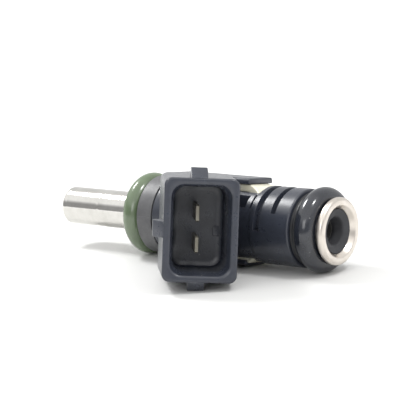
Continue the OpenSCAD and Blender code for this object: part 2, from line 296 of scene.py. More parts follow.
def inset(outline: Array, d: float) -> Array:
    """Moves a closed anticlockwise outline inwards.

    Every point moves along the mean of its two sides' normals, by d over the cosine of half their turn.

    Args:
        outline: Points as (n, 2).
        d: Distance inwards.

    Returns:
        The moved outline.
    """
    before, after = outline - np.roll(outline, 1, 0), np.roll(outline, -1, 0) - outline
    normals = []
    for side in (before, after):
        unit = side / np.maximum(np.linalg.norm(side, axis=1, keepdims=True), 1e-9)
        normals.append(np.stack([-unit[:, 1], unit[:, 0]], -1))
    mean = normals[0] + normals[1]
    mean /= np.maximum(np.linalg.norm(mean, axis=1, keepdims=True), 1e-9)
    turn = np.clip((mean * normals[1]).sum(1, keepdims=True), 0.5, 1)
    return outline + mean * d / turn


def anticlockwise(outline: Array) -> Array:
    """Puts a closed outline in anticlockwise order.

    Args:
        outline: Points as (n, 2).

    Returns:
        The same points, reversed if they ran clockwise.
    """
    x, y = outline[:, 0], outline[:, 1]
    area = float(np.sum(x * np.roll(y, -1) - y * np.roll(x, -1)))
    return outline if area > 0 else outline[::-1]


def slab(outline: Array, low: float, high: float, edge: float, steps: int = 4) -> Array:
    """A flat plate with rounded edges: its outline is carried from one face to the other.

    Near each face the outline shrinks along a quarter circle of radius edge.

    Args:
        outline: Closed outline as (n, 2).
        low: Height of the lower face.
        high: Height of the upper face.
        edge: Radius of the rounded edges.
        steps: Steps along each quarter circle.

    Returns:
        Points as (along, round, 3), with the height last.
    """
    outline = anticlockwise(outline)
    a = np.linspace(0, math.pi / 2, steps + 1)
    offsets = np.concatenate([edge * (1 - np.sin(a)), edge * (1 - np.sin(a[::-1]))])
    heights = np.concatenate([low + edge * (1 - np.cos(a)), high - edge * (1 - np.cos(a[::-1]))])
    count = len(outline)
    rows = [np.column_stack([inset(outline, d), np.full(count, h)]) for d, h in zip(offsets, heights)]
    return np.stack(rows)


def resampled(outline: Array, longest: float, closed: bool = True) -> Array:
    """Adds points to an outline so that no side is longer than a given length.

    Args:
        outline: Points as (n, 2).
        longest: The longest side allowed.
        closed: True if the last point joins the first.

    Returns:
        The denser outline.
    """
    out: list[Array] = []
    count = len(outline) if closed else len(outline) - 1
    for i in range(count):
        a, b = outline[i], outline[(i + 1) % len(outline)]
        k = max(1, math.ceil(float(np.linalg.norm(b - a)) / longest))
        out.append(a + (b - a) * (np.arange(k) / k)[:, None])
    if not closed:
        out.append(outline[-1:])
    return np.concatenate(out)


def crowded(marks: Array, count: int, width: float) -> Array:
    """Angles round a circle, evenly spaced, with extra ones close to each mark.

    Args:
        marks: Angles that need detail.
        count: Number of even steps.
        width: Half width of the detail.

    Returns:
        Sorted angles from 0 to a full turn.
    """
    even = np.linspace(0, 2 * math.pi, count, endpoint=False)
    extra = (marks[:, None] + np.linspace(-width, width, 9)[None]).ravel() % (2 * math.pi)
    merged = np.sort(np.concatenate([even, extra]))
    return merged[np.diff(merged, prepend=-1.0) > 1e-3]


def turned_at(profile: Array, angles: Array, radius: RadiusChange | None = None) -> Array:
    """A surface of revolution: a profile of (x, r) carried round the X axis and read at chosen angles.

    Args:
        profile: Points of the profile as (n, 2).
        angles: Angles round the axis.
        radius: Optional change of radius as a function of (x, angle), added to the profile's own.

    Returns:
        Points as (along the profile, round the axis, 3).
    """
    x = np.repeat(profile[:, :1], len(angles), 1)
    r = np.repeat(profile[:, 1:], len(angles), 1)
    if radius is not None:
        r = r + radius(x, np.broadcast_to(angles, x.shape))
    return np.stack([x, r * np.sin(angles), r * np.cos(angles)], -1)


def turned(profile: Array, steps: int = 144, radius: RadiusChange | None = None) -> Array:
    """A surface of revolution read at evenly spaced angles.

    Args:
        profile: Points of the profile as (n, 2).
        steps: Steps round the axis.
        radius: Optional change of radius as a function of (x, angle).

    Returns:
        Points as (along the profile, round the axis, 3).
    """
    return turned_at(profile, np.linspace(0, 2 * math.pi, steps, endpoint=False), radius)


def ramp(x: Array, low: float, high: float, soft: float) -> Array:
    """A smooth window: 1 between low and high, 0 outside, over a width soft at each end.

    Args:
        x: Where it is read.
        low: Start of the window.
        high: End of the window.
        soft: Width of each side.

    Returns:
        Values from 0 to 1.
    """
    up = np.clip((x - low) / soft + 0.5, 0, 1)
    down = np.clip((high - x) / soft + 0.5, 0, 1)
    return np.minimum(up * up * (3 - 2 * up), down * down * (3 - 2 * down))


def quarter_turned(first: Array, second: Array, turns: int) -> tuple[Array, Array]:
    """Turns two coordinates by whole quarter turns.

    Args:
        first: First coordinates.
        second: Second coordinates.
        turns: Number of quarter turns, from the first towards the second.

    Returns:
        The turned coordinates.
    """
    c, s = round(math.cos(turns * math.pi / 2)), round(math.sin(turns * math.pi / 2))
    return first * c - second * s, first * s + second * c


# ---------------------------------------------------------------- materials


class Slot(Enum):
    """Material slots of the record."""

    POLISHED = "polished_stainless"
    SATIN = "satin_stainless"
    HARDENED = "hardened_steel"
    BALL = "ball_steel"
    MAGNETIC = "magnetic_steel"
    SPRING = "spring_steel"
    GAP = "gap_alloy"
    FLANGE = "flange_steel"
    FILTER = "filter_plastic"
    WEAVE = "filter_weave"
    BOBBIN = "bobbin_plastic"
    COPPER = "copper_wire"
    PASSIVATED = "yellow_passivated_steel"
    BLADE = "tinned_blade"
    MOULDING = "black_moulding"
    CHARCOAL = "charcoal_moulding"
    GREEN = "green_rubber"
    RUBBER = "black_rubber"
    SUPPORT = "support_plastic"


@dataclass(frozen=True)
class Finish:
    """A surface finish.

    base and second are the two linear colours that the blotches mix, lit is the colour of worn edges.
    grain is the size of the fine texture in millimetres and depth its strength; lines stretches it along X.
    """

    slot: Slot
    base: tuple[float, float, float]
    second: tuple[float, float, float]
    lit: tuple[float, float, float]
    metallic: float
    roughness: float
    vary: float
    grain: float
    depth: float
    lines: float = 1.0
    wear: float = 0.3
    blotch: float = 2.5
    specular: float = 0.5
    coat: float = 0.0


GRAIN_HEIGHT = 0.06 * MM
WORN_RADIUS = 0.22 * MM
DUST_ON_PLASTIC = 0.35
LINT = (0.35, 0.35, 0.34)

FINISHES: tuple[Finish, ...] = (
    Finish(Slot.POLISHED, (0.65, 0.638, 0.61), (0.57, 0.56, 0.53), (0.80, 0.80, 0.79),
           metallic=1, roughness=0.10, vary=0.09, grain=0.10, depth=0.03, lines=12.0, wear=0.1),
    Finish(Slot.SATIN, (0.62, 0.62, 0.61), (0.50, 0.50, 0.50), (0.8, 0.8, 0.8),
           metallic=1, roughness=0.24, vary=0.12, grain=0.12, depth=0.06, lines=0.15),
    Finish(Slot.HARDENED, (0.52, 0.52, 0.54), (0.42, 0.42, 0.43), (0.7, 0.7, 0.7),
           metallic=1, roughness=0.22, vary=0.10, grain=0.10, depth=0.05, lines=0.2),
    Finish(Slot.BALL, (0.72, 0.72, 0.73), (0.66, 0.66, 0.68), (0.8, 0.8, 0.8),
           metallic=1, roughness=0.06, vary=0.04, grain=0.20, depth=0.01, wear=0.1),
    Finish(Slot.MAGNETIC, (0.48, 0.49, 0.50), (0.40, 0.41, 0.42), (0.7, 0.7, 0.7),
           metallic=1, roughness=0.28, vary=0.12, grain=0.12, depth=0.06, lines=0.15),
    Finish(Slot.SPRING, (0.46, 0.47, 0.50), (0.34, 0.35, 0.39), (0.6, 0.6, 0.6),
           metallic=1, roughness=0.30, vary=0.10, grain=0.08, depth=0.05),
    Finish(Slot.GAP, (0.56, 0.53, 0.48), (0.47, 0.44, 0.40), (0.7, 0.7, 0.65),
           metallic=1, roughness=0.30, vary=0.12, grain=0.12, depth=0.06, lines=0.15),
    Finish(Slot.FLANGE, (0.74, 0.69, 0.635), (0.64, 0.59, 0.53), (0.86, 0.82, 0.78),
           metallic=1, roughness=0.30, vary=0.10, grain=0.11, depth=0.05, lines=0.4, wear=0.5),
    Finish(Slot.FILTER, (0.042, 0.043, 0.048), (0.036, 0.037, 0.041), (0.08, 0.08, 0.08),
           metallic=0, roughness=0.6, vary=0.12, grain=0.15, depth=0.10, wear=0.2, specular=0.3),
    # Filter weave: darkened almost to black, painted shade for the deep bore it lies in.
    Finish(Slot.WEAVE, (0.075, 0.074, 0.070), (0.055, 0.054, 0.050), (0.12, 0.12, 0.11),
           metallic=0, roughness=0.70, vary=0.10, grain=0.12, depth=0.30),
    Finish(Slot.BOBBIN, (0.62, 0.58, 0.47), (0.52, 0.48, 0.38), (0.7, 0.68, 0.6),
           metallic=0, roughness=0.50, vary=0.10, grain=0.18, depth=0.10),
    Finish(Slot.COPPER, (0.66, 0.30, 0.14), (0.50, 0.20, 0.08), (0.8, 0.45, 0.25),
           metallic=1, roughness=0.32, vary=0.12, grain=0.30, depth=0.30, lines=0.12),
    # Yoke strap: the base is pushed almost to white, partly its real pale yellow passivation and partly
    # painted highlight for the strap's bright sheen.
    Finish(Slot.PASSIVATED, (1.0, 0.98, 0.84), (0.97, 0.92, 0.70), (1.0, 0.98, 0.90),
           metallic=0.3, roughness=0.36, vary=0.14, grain=0.10, depth=0.05, blotch=2.4),
    # Tinned blades: the base is darkened well below bright tin, painted shade for the dark socket the blades
    # stand in.
    Finish(Slot.BLADE, (0.21, 0.198, 0.165), (0.165, 0.155, 0.125), (0.42, 0.40, 0.35),
           metallic=0.6, roughness=0.36, vary=0.12, grain=0.10, depth=0.05, wear=0.4),
    Finish(Slot.MOULDING, (0.034, 0.039, 0.054), (0.027, 0.031, 0.043), (0.20, 0.20, 0.205),
           metallic=0, roughness=0.30, vary=0.14, grain=0.11, depth=0.05, wear=0.5,
           blotch=2.2, specular=0.6),
    Finish(Slot.CHARCOAL, (0.100, 0.100, 0.104), (0.074, 0.075, 0.079), (0.18, 0.18, 0.18),
           metallic=0, roughness=0.45, vary=0.12, grain=0.13, depth=0.15, blotch=1.8),
    Finish(Slot.GREEN, (0.100, 0.145, 0.075), (0.084, 0.122, 0.062), (0.2, 0.28, 0.16),
           metallic=0, roughness=0.20, vary=0.10, grain=0.16, depth=0.06, wear=0.1, specular=1.0),
    Finish(Slot.RUBBER, (0.020, 0.023, 0.031), (0.015, 0.017, 0.023), (0.06, 0.06, 0.065),
           metallic=0, roughness=0.16, vary=0.08, grain=0.18, depth=0.05, wear=0.1, specular=0.75),
    Finish(Slot.SUPPORT, (0.020, 0.021, 0.023), (0.014, 0.015, 0.017), (0.06, 0.06, 0.06),
           metallic=0, roughness=0.36, vary=0.10, grain=0.14, depth=0.08),
)


@dataclass(frozen=True)
class Wiring:
    """Adds nodes to a tree, each in one call with its settings, values and links."""

    tree: bpy.types.NodeTree

    def add(
        self, kind: str, inputs: dict[int | str, Feed] | None = None, **settings: object
    ) -> bpy.types.Node:
        """Adds a shader node.

        Args:
            kind: Its type, without the "ShaderNode" in front.
            inputs: A value, or the socket that feeds it, for each input by number or name.
            settings: The node's own properties, such as its operation.

        Returns:
            The node.
        """
        made = self.tree.nodes.new(f"ShaderNode{kind}")
        for name, value in settings.items():
            setattr(made, name, value)
        for key, value in (inputs or {}).items():
            self.feed(made.inputs[key], value)
        return made

    def feed(self, into: bpy.types.NodeSocket, value: Feed) -> None:
        """Links a socket to an input, or sets the input's value.

        Args:
            into: The input.
            value: The socket that feeds it, or its value.
        """
        if isinstance(value, bpy.types.NodeSocket):
            self.tree.links.new(value, into)
        else:
            into.default_value = value

    def math(self, operation: str, *values: Feed) -> bpy.types.NodeSocket:
        """Adds a calculation on numbers.

        Args:
            operation: What it does.
            values: Its operands.

        Returns:
            The socket of the result.
        """
        return self.add("Math", dict(enumerate(values)), operation=operation).outputs[0]

    def scaled(
        self, value: Feed, start: float, end: float, low: float = 0, high: float = 1
    ) -> bpy.types.NodeSocket:
        """Maps a number from one range to another, and holds it inside the second.

        Args:
            value: The number.
            start: Where the result is low.
            end: Where the result is high.
            low: Result at the start.
            high: Result at the end.

        Returns:
            The socket of the result.
        """
        ends = {"From Min": start, "From Max": end, "To Min": low, "To Max": high}
        return self.add("MapRange", {"Value": value, **ends}).outputs[0]

    def noise(self, where: Feed, scale: Feed, detail: float, roughness: float) -> bpy.types.NodeSocket:
        """Adds a noise texture.

        Args:
            where: Socket of the place.
            scale: How many features there are in a metre.
            detail: How many finer layers it has.
            roughness: How strong those layers are.

        Returns:
            The socket of its value.
        """
        values = {"Vector": where, "Scale": scale, "Detail": detail, "Roughness": roughness}
        return self.add("TexNoise", values).outputs[0]

    def mix(self, mask: Feed, first: Feed, second: Feed, blend: str = "MIX") -> bpy.types.NodeSocket:
        """Mixes two colours by a mask.

        Args:
            mask: Socket of the mask.
            first: A colour, or the socket that gives it.
            second: The colour where the mask is 1, or its socket.
            blend: How the second goes over the first.

        Returns:
            The socket of the mixed colour.
        """
        ends = [c if isinstance(c, bpy.types.NodeSocket) else (*c, 1) for c in (first, second)]
        made = self.add("Mix", {0: mask}, data_type="RGBA", blend_type=blend)
        self.feed(made.inputs[6], ends[0])
        self.feed(made.inputs[7], ends[1])
        return made.outputs[2]

    def group(self, shared: bpy.types.NodeTree, **values: float) -> bpy.types.NodeOutputs:
        """Adds a shared group.

        Args:
            shared: The group.
            values: Its inputs.

        Returns:
            Its outputs.
        """
        return self.add("Group", values, node_tree=shared).outputs


class Groups:
    """Node groups that the materials share. Each gives only values and normals."""

    def __init__(self) -> None:
        """Builds the groups once."""
        self.grain = self._grain()
        self.wear = self._wear()
        self.dust = self._dust()

    @staticmethod
    def _start(
        name: str, inputs: dict[str, float], outputs: Sequence[str]
    ) -> tuple[Wiring, bpy.types.NodeOutputs, bpy.types.NodeInputs]:
        """Starts a group.

        Args:
            name: The group's name.
            inputs: The default of each input.
            outputs: Names of the outputs, which are numbers except for "Normal".

        Returns:
            Its wiring, the sockets that give its inputs, and the sockets that take its outputs.
        """
        tree = bpy.data.node_groups.new(name, "ShaderNodeTree")
        for label, value in inputs.items():
            socket = tree.interface.new_socket(label, in_out="INPUT", socket_type="NodeSocketFloat")
            socket.default_value = value
        for label in outputs:
            kind = "NodeSocketVector" if label == "Normal" else "NodeSocketFloat"
            tree.interface.new_socket(label, in_out="OUTPUT", socket_type=kind)
        gives, takes = tree.nodes.new("NodeGroupInput"), tree.nodes.new("NodeGroupOutput")
        return Wiring(tree), gives.outputs, takes.inputs

    def _grain(self) -> bpy.types.NodeTree:
        """Fine grain, stretched along X, with slow blotches, as a normal and two masks."""
        defaults = {"Frequency": 5000, "Stretch": 1, "Depth": 0.1, "Blotch": 400}
        wiring, source, out = self._start("surface_grain", defaults, ("Fine", "Blotches", "Normal"))
        where = wiring.add("TexCoord").outputs["Object"]
        split = wiring.add("SeparateXYZ", {0: where}).outputs
        along = wiring.math("DIVIDE", split[0], source["Stretch"])
        stretched = wiring.add("CombineXYZ", {0: along, 1: split[1], 2: split[2]}).outputs[0]
        fine = wiring.noise(stretched, source["Frequency"], 4, 0.6)
        slow = wiring.noise(where, source["Blotch"], 5, 0.65)
        bump = wiring.add("Bump", {"Strength": source["Depth"], "Distance": GRAIN_HEIGHT, "Height": fine})
        wiring.feed(out["Fine"], fine)
        wiring.feed(out["Blotches"], wiring.scaled(slow, 0.35, 0.65))
        wiring.feed(out["Normal"], bump.outputs[0])
        return wiring.tree

    def _wear(self) -> bpy.types.NodeTree:
        """Worn edges: the difference between a rounded normal and the true one, broken up by noise."""
        wiring, source, out = self._start("edge_wear", {"Amount": 0.3}, ("Mask",))
        rounded = wiring.add("Bevel", {"Radius": WORN_RADIUS}, samples=4).outputs[0]
        true = wiring.add("NewGeometry").outputs["Normal"]
        same = wiring.add("VectorMath", {0: rounded, 1: true}, operation="DOT_PRODUCT").outputs["Value"]
        broken = wiring.noise(wiring.add("TexCoord").outputs["Object"], 1100, 4, 0.5)
        both = wiring.math("MULTIPLY", wiring.scaled(same, 0.99, 0.86), wiring.scaled(broken, 0.42, 0.66))
        wiring.feed(out["Mask"], wiring.math("MULTIPLY", both, source["Amount"]))
        return wiring.tree

    def _dust(self) -> bpy.types.NodeTree:
        """Sparse specks of lint and dust: a spot in the middle of one in ten cells of a random pattern."""
        wiring, source, out = self._start("dust_specks", {"Amount": 1.0}, ("Mask",))
        where = wiring.add("TexCoord").outputs["Object"]
        cells = wiring.add("TexVoronoi", {"Vector": where, "Scale": 620}).outputs
        draw = wiring.add("SeparateColor", {0: cells["Color"]}).outputs[0]
        rare = wiring.math("GREATER_THAN", draw, 0.90)
        chosen = wiring.math("MULTIPLY", wiring.scaled(cells["Distance"], 0.10, 0.04), rare)
        wiring.feed(out["Mask"], wiring.math("MULTIPLY", chosen, source["Amount"]))
        return wiring.tree


class MaterialKit:
    """Makes one procedural material for each finish."""

    def __init__(self, finishes: Iterable[Finish]) -> None:
        """Builds the shared groups and every material.

        Args:
            finishes: The finishes to make.
        """
        self.groups = Groups()
        self.by_slot = {f.slot: self._material(f) for f in finishes}

    def _material(self, finish: Finish) -> bpy.types.Material:
        """Builds the material of one finish.

        Args:
            finish: The finish.

        Returns:
            The material, named after its slot.
        """
        made = bpy.data.materials.new(f"{finish.slot.value}_look")
        made.use_nodes = True
        wiring = Wiring(made.node_tree)
        grain = wiring.group(
            self.groups.grain,
            Frequency=0.5 / (finish.grain * MM),
            Stretch=finish.lines,
            Depth=finish.depth,
            Blotch=1 / (finish.blotch * MM),
        )
        wear = wiring.group(self.groups.wear, Amount=finish.wear)["Mask"]
        dust = wiring.group(self.groups.dust, Amount=0.0 if finish.metallic else DUST_ON_PLASTIC)["Mask"]
        colour = wiring.mix(grain["Blotches"], finish.base, finish.second)
        colour = wiring.mix(dust, wiring.mix(wear, colour, finish.lit), LINT)
        half = wiring.math("MULTIPLY", grain["Blotches"], 0.5)
        uneven = wiring.math("MULTIPLY_ADD", grain["Fine"], 0.5, half)
        smoothest, roughest = finish.roughness - finish.vary / 2, finish.roughness + finish.vary / 2
        looks: dict[str, Feed] = {
            "Base Color": colour,
            "Roughness": wiring.scaled(uneven, 0, 1, max(0.02, smoothest), roughest),
            "Normal": grain["Normal"],
            "Metallic": finish.metallic,
            "Specular IOR Level": finish.specular,
            "Coat Weight": finish.coat,
        }
        shader = made.node_tree.nodes["Principled BSDF"]
        for name, value in looks.items():
            wiring.feed(shader.inputs[name], value)
        return made

    def dress(self, node: str, slot: Slot) -> None:
        """Puts a material on a CAD node that stays shown.

        Args:
            node: The CAD node.
            slot: Its material slot.
        """
        cad = frame["nodes"][node]
        cad.data.materials.clear()
        cad.data.materials.append(self.by_slot[slot])


class Builder:
    """Turns patches into pieces that ride on a body and stand for CAD nodes."""

    def __init__(self, materials: MaterialKit) -> None:
        """Keeps the materials.

        Args:
            materials: The material kit.
        """
        self.materials = materials

    def piece(
        self, name: str, patches: Sequence[Patch], slot: Slot, replaces: Sequence[str], sharp: float = 38.0
    ) -> bpy.types.Object:
        """Makes one piece.

        Args:
            name: The piece's name.
            patches: Its closed surfaces, in millimetres.
            slot: Its material slot.
            replaces: CAD nodes that it stands for.
            sharp: Angle in degrees above which an edge stays sharp.

        Returns:
            The object, at the origin and riding on the injector's body.
        """
        vertices, faces, base = [], [], 0
        for patch in patches:
            vertices.append(patch.vertices)
            faces += [tuple(i + base for i in face) for face in patch.faces]
            base += len(patch.vertices)
        mesh = bpy.data.meshes.new(name)
        mesh.from_pydata((np.concatenate(vertices) * MM).tolist(), [], faces)
        mesh.update()
        mesh.validate()
        mesh.shade_smooth()
        mesh.set_sharp_from_angle(angle=math.radians(sharp))
        made = bpy.data.objects.new(name, mesh)
        bpy.context.scene.collection.objects.link(made)
        made.data.materials.append(self.materials.by_slot[slot])
        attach(made, BODY)
        if replaces:
            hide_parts(*replaces)
        log.info("%s: %d vertices, %d faces", name, base, len(faces))
        return made


# ---------------------------------------------------------------- tubes, rings and flange


@dataclass(frozen=True)
class NozzleTube:
    """The polished nozzle tube with its rolled tip, a lip just behind the tip and a ring of weld marks."""

    tip_round: float = 0.6
    lip_at: float = 1.05
    lip_depth: float = 0.035
    weld_at: float = 8.5
    weld_depth: float = 0.03
    weld_marks: int = 12
    bore_step: float = 0.3

    def build(self, builder: Builder) -> None:
        """Builds the tube.

        The profile runs from the bore's edge over the rolled tip, along the outside and back along the bore.
        The outside's radius is changed by a shallow lip groove and by a ring of small dimples.

        Args:
            builder: Makes the piece.
        """
        at = span("nozzle_tube")
        wall = at.radius - span("pole_piece").radius
        tip, end, seat = at.start, at.end, at.radius
        r = mount_radius("nozzle")
        disc = span("orifice_disc")
        step = span("ring_retainer").start - 0.5
        along = np.arange(tip + self.tip_round + 0.15, step - 0.05, 0.12)
        outside = np.column_stack([along, np.full(len(along), r)])
        bore = seat - wall
        mouth = bore - self.bore_step
        corners = [(disc.start, mouth, 0), (tip, mouth, 0.15), (tip, r, self.tip_round),
                   (tip + self.tip_round + 0.1, r, 0)]
        first = filleted(corners, 10, closed=False)
        last = np.array([[step, r], [step + 0.1, seat], [end, seat], [end, bore], [disc.start, bore]])
        profile = np.concatenate([first, outside, last])

        def dents(x: Array, a: Array) -> Array:
            """Depth of the groove and the dimples, on the straight outside only."""
            outer = ramp(x, tip + self.tip_round, step - 0.3, 0.1)
            lip = np.exp(-(((x - tip - self.lip_at) / 0.09) ** 2)) * self.lip_depth
            near = np.exp(-(((x - tip - self.weld_at) / 0.22) ** 2))
            spots = near * (0.55 + 0.45 * np.cos(a * self.weld_marks)) * self.weld_depth
            own = np.repeat(profile[:, 1:], x.shape[1], 1)
            return -(lip + spots) * outer * (np.abs(own - r) < 1e-6)

        grid = turned(profile, 160, dents)
        builder.piece("nozzle_tube_skin", [carried(grid, around=True)], Slot.POLISHED, ["nozzle_tube"])


@dataclass(frozen=True)
class SealRing:
    """An O-ring: a torus with a faint moulding flash round its outside."""

    node: str
    slot: Slot
    flash: float = 0.012

    def build(self, builder: Builder) -> None:
        """Builds the ring.

        The section is a circle, a little larger in radius close to its outermost and innermost points.

        Args:
            builder: Makes the piece.
        """
        at = span(self.node)
        section = at.length / 2
        centre = at.radius - section
        a = np.linspace(0, 2 * math.pi, 96, endpoint=False)
        s = section - self.flash * (1 - np.exp(-((np.sin(2 * a) / 0.10) ** 2) * (np.abs(np.cos(a)) > 0.9)))
        profile = np.column_stack([at.middle + s * np.sin(a), centre + s * np.cos(a)])
        skin = carried(turned(profile, 192), around=True)
        builder.piece(f"{self.node}_skin", [skin], self.slot, [self.node], 80)


@dataclass(frozen=True)
class Collar:
    """The collar that backs the lower O-ring, with a parting line and a lip at its front."""

    edge: float = 0.35
    line: float = 0.05
    seams: tuple[float, float] = (97.0, 277.0)

    def build(self, builder: Builder) -> None:
        """Builds the collar.

        Its radius depends on the place along X and the angle round it: a thin groove marks the parting line
        on each side.

        Args:
            builder: Makes the piece.
        """
        at = span("lower_collar")
        r, inner = at.radius, span("gap_ring").radius
        step = at.end - 0.12
        corners = [(at.start, inner, 0), (at.start, r - 1.4, 0), (at.start + 0.05, r, self.edge),
                   (step, r, 0.10), (step + 0.02, r - 0.35, 0), (at.end, r - 0.35, 0), (at.end, inner, 0)]
        fine = resampled(filleted(corners, 8), 0.12)
        marks = np.radians(np.array(self.seams))

        def groove(x: Array, a: Array) -> Array:
            """Depth of the parting line, on the collar's outside only."""
            near = sum(np.exp(-(((a - mark) / 0.010) ** 2)) for mark in marks)
            high = np.repeat(fine[:, 1:], x.shape[1], 1) > r - 0.3
            return -self.line * near * high

        skin = carried(turned_at(fine, crowded(marks, 150, 0.03), groove), around=True)
        builder.piece("lower_collar_skin", [skin], Slot.CHARCOAL, ["lower_collar"])


@dataclass(frozen=True)
class InletFlange:
    """The pressed flange that holds the upper O-ring, with its funnel mouth."""

    outer_edge: float = 0.62
    mouth_r: float = 4.5
    throat_r: float = 3.8
    funnel: float = 0.9

    def build(self, builder: Builder) -> None:
        """Builds the flange: a filleted profile carried round the axis.

        Args:
            builder: Makes the piece.
        """
        at = span("inlet_flange")
        tube_end = span("inlet_tube").end
        tube_r = span("gap_ring").radius
        edge, throat = self.outer_edge, self.throat_r
        corners = [(at.start, tube_r, 0), (at.start, at.radius, edge), (at.end, at.radius, edge),
                   (at.end, self.mouth_r, 0.35), (at.end - self.funnel, throat, 0.5), (tube_end, throat, 0),
                   (tube_end, tube_r, 0)]
        grid = turned(resampled(filleted(corners, 10), 0.25), 160)
        builder.piece("inlet_flange_skin", [carried(grid, around=True)], Slot.FLANGE, ["inlet_flange"])


@dataclass(frozen=True)
class PlainRing:
    """A plain ring with rounded edges."""

    node: str
    slot: Slot
    edge: float
    groove: float = 0.0

    def build(self, builder: Builder) -> None:
        """Builds the ring from its CAD node's size.

        Args:
            builder: Makes the piece.
        """
        at, inner = span(self.node), span("gap_ring").radius
        corners = [(at.start, inner, 0), (at.start, at.radius, self.edge),
                   (at.middle, at.radius - self.groove, 0.1), (at.end, at.radius, self.edge),
                   (at.end, inner, 0)]
        grid = turned(resampled(filleted(corners, 6), 0.3), 144)
        builder.piece(f"{self.node}_skin", [carried(grid, around=True)], self.slot, [self.node])


# ---------------------------------------------------------------- moulded body


@dataclass(frozen=True)
class BodySizes:
    """Sizes of the moulded body, in millimetres, in the frame rolled with the plug."""

    housing_r: float = 6.5
    collar_r: float = 6.9
    collar_l: float = 3.2
    neck_r: float = 6.75
    neck_start: float = 26.4
    slot_1: tuple[float, float, float] = (27.4, 28.6, 95.0)
    slot_2: tuple[float, float, float] = (30.6, 31.6, 68.0)
    slot_depth: float = 1.1
    strap_low: float = 5.45
    strap_high: float = 6.85
    window: tuple[float, float] = (21.4, 26.2)
    pocket: tuple[float, float] = (20.9, 24.9)
    pocket_low: float = 2.9
    pocket_floor: float = 4.2
    slit: tuple[float, float] = (25.75, 26.15)
    roof_w: float = 6.8
    roof_t: float = 1.0
    roof_end: float = 23.8
    floor_lip: float = 0.3
    lip_rise: float = 0.65
    edge: float = 0.3
    nose: float = 0.7
    shell_half_w: float = 6.2
    shell_half_h: float = 8.6
    lug_shift: float = 0.45
    root_half: float = 7.3


